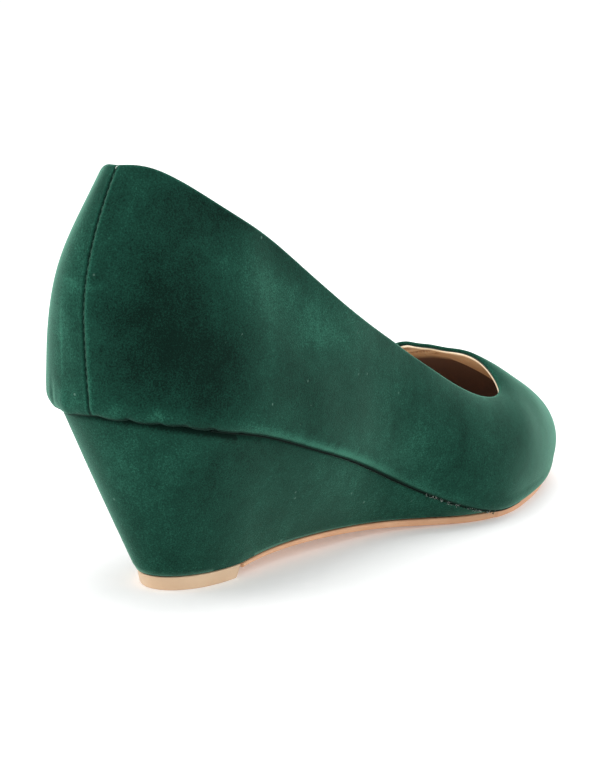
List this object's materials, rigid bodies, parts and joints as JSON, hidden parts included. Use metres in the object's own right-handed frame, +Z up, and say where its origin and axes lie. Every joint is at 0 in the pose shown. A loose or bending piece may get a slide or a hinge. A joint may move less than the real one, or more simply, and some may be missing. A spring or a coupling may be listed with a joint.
{
  "type": "wedge pump",
  "caption": "Closed-toe slip-on pump: a hollow pile-fabric upper on a covered wedge heel, with a thin outsole and a small top piece under the heel.",
  "frame": {"origin": "on the floor, under the middle of the shoe's length and width", "axes": "+X towards the toe, +Y towards the inner side of the foot, +Z up"},
  "size_m": [0.235, 0.0816, 0.1089],
  "materials": {
    "velvet": "green velvet pile",
    "sock": "tan lining leather",
    "soling": "smooth tan soling",
    "heel_rubber": "smooth pale top piece"
  },
  "bodies": {
    "root": {"upper": "velvet", "insole": "sock", "wedge": "velvet", "outsole": "soling", "top_piece": "heel_rubber"}
  },
  "joints": []
}
